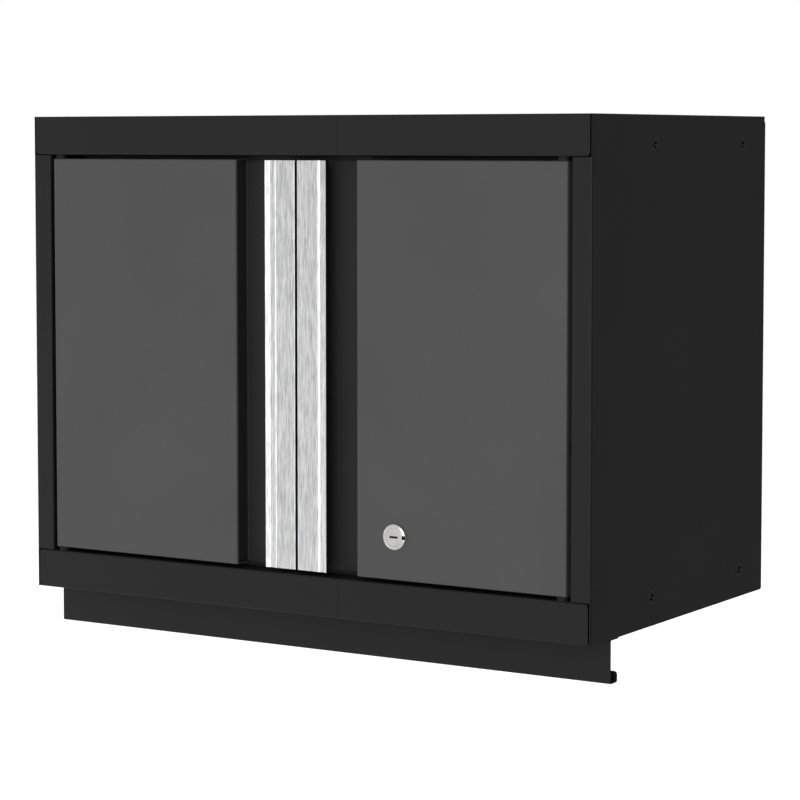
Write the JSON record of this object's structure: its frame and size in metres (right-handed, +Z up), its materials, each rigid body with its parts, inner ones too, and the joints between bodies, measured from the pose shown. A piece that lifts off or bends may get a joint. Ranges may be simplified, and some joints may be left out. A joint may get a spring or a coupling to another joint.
{
  "type": "hanging wall cabinet",
  "caption": "Steel wall cabinet with two inset doors, full-height aluminium pulls, a cam lock, a lift-out shelf and a light valance below.",
  "frame": {"origin": "centre of the four wall holes, in the back panel's outer face", "axes": "+X to the right seen from the front, +Y into the wall, +Z up"},
  "size_m": [0.6096, 0.3582, 0.4968],
  "materials": {
    "black_powder_coat": "fine satin powder coat",
    "charcoal_powder_coat": "fine matt powder coat",
    "grey_powder_coat": "fine satin powder coat",
    "brushed_aluminium": "brushed along its length",
    "nickel_plate": "satin nickel plate",
    "zinc_plate": "bright zinc plate",
    "black_oxide": "black oxide",
    "black_nylon": "moulded, matt",
    "black_rubber": "matt",
    "galvanised_pole": "plain steel"
  },
  "bodies": {
    "cabinet": {"left_side_panel": "black_powder_coat", "right_side_panel": "black_powder_coat", "top_panel": "black_powder_coat", "bottom_panel": "black_powder_coat", "back_panel": "black_powder_coat", "upper_hanging_rail": "black_powder_coat", "lower_hanging_rail": "black_powder_coat", "light_valance": "black_powder_coat", "valance_rivets": "black_oxide", "left_front_standard": "black_powder_coat", "left_rear_standard": "black_powder_coat", "right_front_standard": "black_powder_coat", "right_rear_standard": "black_powder_coat", "left_side_screws": "black_oxide", "right_side_screws": "black_oxide", "left_standard_nuts": "zinc_plate", "right_standard_nuts": "zinc_plate", "left_shelf_clips": "zinc_plate", "right_shelf_clips": "zinc_plate", "left_pivot_bushes": "black_nylon", "right_pivot_bushes": "black_nylon", "left_catch_housing": "black_nylon", "right_catch_housing": "black_nylon", "left_catch_magnet": "galvanised_pole", "right_catch_magnet": "galvanised_pole", "left_catch_screws": "black_oxide", "right_catch_screws": "black_oxide"},
    "left_door": {"left_door_skin": "grey_powder_coat", "left_door_back": "black_powder_coat", "left_finger_channel": "charcoal_powder_coat", "left_handle": "brushed_aluminium", "left_handle_screws": "zinc_plate", "left_door_stiffener": "black_powder_coat", "left_pivot_blocks": "zinc_plate", "left_pivot_pins": "black_oxide", "left_pivot_washers": "black_nylon", "left_bumpers": "black_rubber", "left_strike_plate": "zinc_plate"},
    "right_door": {"right_door_skin": "grey_powder_coat", "right_door_back": "black_powder_coat", "right_finger_channel": "charcoal_powder_coat", "right_handle": "brushed_aluminium", "right_handle_screws": "zinc_plate", "right_door_stiffener": "black_powder_coat", "right_pivot_blocks": "zinc_plate", "right_pivot_pins": "black_oxide", "right_pivot_washers": "black_nylon", "right_bumpers": "black_rubber", "right_strike_plate": "zinc_plate", "lock_housing": "nickel_plate", "lock_nut": "nickel_plate"},
    "lock": {"lock_plug": "nickel_plate", "lock_cam": "zinc_plate", "cam_screw": "zinc_plate"},
    "shelf": {"shelf": "black_powder_coat", "shelf_stiffener": "black_powder_coat"}
  },
  "joints": [
    {"name": "left_door_hinge", "type": "hinge", "parent": "cabinet", "child": "left_door", "pos_m": [-0.2749, -0.3496, 0], "axis": [0, 0, -1], "range_deg": [0, 110]},
    {"name": "right_door_hinge", "type": "hinge", "parent": "cabinet", "child": "right_door", "pos_m": [0.2749, -0.3496, 0], "axis": [0, 0, 1], "range_deg": [0, 110]},
    {"name": "lock_turn", "type": "hinge", "parent": "right_door", "child": "lock", "pos_m": [0.107, -0.3556, -0.1489], "axis": [0, 1, 0], "range_deg": [0, 90]},
    {"name": "shelf_lift", "type": "slide", "parent": "cabinet", "child": "shelf", "axis": [0, 0, 1], "range_m": [0, 0.03]}
  ]
}
